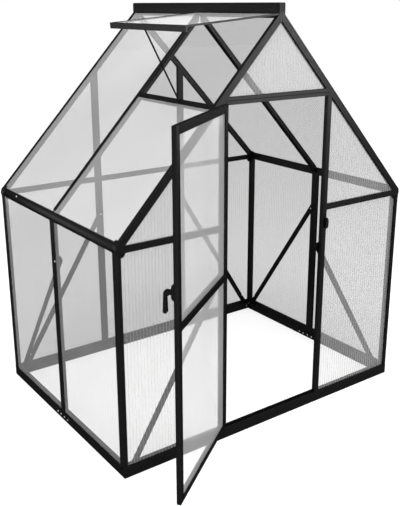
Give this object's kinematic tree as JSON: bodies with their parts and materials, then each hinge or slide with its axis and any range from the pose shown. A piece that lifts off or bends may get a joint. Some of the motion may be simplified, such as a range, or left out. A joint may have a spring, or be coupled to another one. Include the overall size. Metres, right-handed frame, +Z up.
{
  "type": "greenhouse",
  "caption": "Small walk-in greenhouse with a near-black metal frame, clear twin-wall sheets, an open hinged front door and a propped roof vent.",
  "frame": {"origin": "middle of the front base rail's underside, on the ground", "axes": "+X right along the front gable, +Y from the front gable to the back, +Z up"},
  "size_m": [1.8133, 1.7272, 2.1314],
  "materials": {
    "frame": "satin near-black powder coat",
    "sheet": "clear twin-wall polycarbonate with fine flutes",
    "fitting": "moulded black plastic"
  },
  "bodies": {
    "frame": {"base_rail_front": "frame", "base_rail_back": "frame", "base_rail_left": "frame", "base_rail_right": "frame", "base_splices": "frame", "corner_posts": "frame", "door_posts": "frame", "side_mullions": "frame", "back_mullions": "frame", "eave_beams": "frame", "eave_corners": "frame", "front_ties": "frame", "back_ties": "frame", "door_header": "frame", "gable_rafters": "frame", "middle_rafters": "frame", "ridge_beam": "frame", "ridge_caps": "fitting", "vent_sill": "frame", "vent_frame": "frame", "vent_sheet": "sheet", "vent_stay": "fitting", "front_braces": "frame", "back_braces": "frame", "side_braces": "frame", "front_wall_sheets": "sheet", "front_gable_sheets": "sheet", "back_wall_sheets": "sheet", "back_gable_sheets": "sheet", "left_wall_sheets": "sheet", "right_wall_sheets": "sheet", "left_roof_sheets": "sheet", "right_roof_sheets": "sheet", "latch_keeper": "fitting", "hinge_brackets": "fitting"},
    "door": {"door_hinge_stile": "frame", "door_free_stile": "frame", "door_rails": "frame", "door_sheets": "sheet", "door_rosette": "fitting", "door_hinge_leaves": "fitting"},
    "lever": {"door_lever": "fitting"}
  },
  "joints": [
    {"name": "door_hinge", "type": "hinge", "parent": "frame", "child": "door", "pos_m": [-0.346, -0.0425, 0.9055], "axis": [0, 0, -1], "range_deg": [-144.2, 20]},
    {"name": "lever_hinge", "type": "hinge", "parent": "door", "child": "lever", "pos_m": [-0.87319, -0.42272, 1.056], "axis": [-0.585, 0.8111, 0], "range_deg": [-90, 0]}
  ]
}
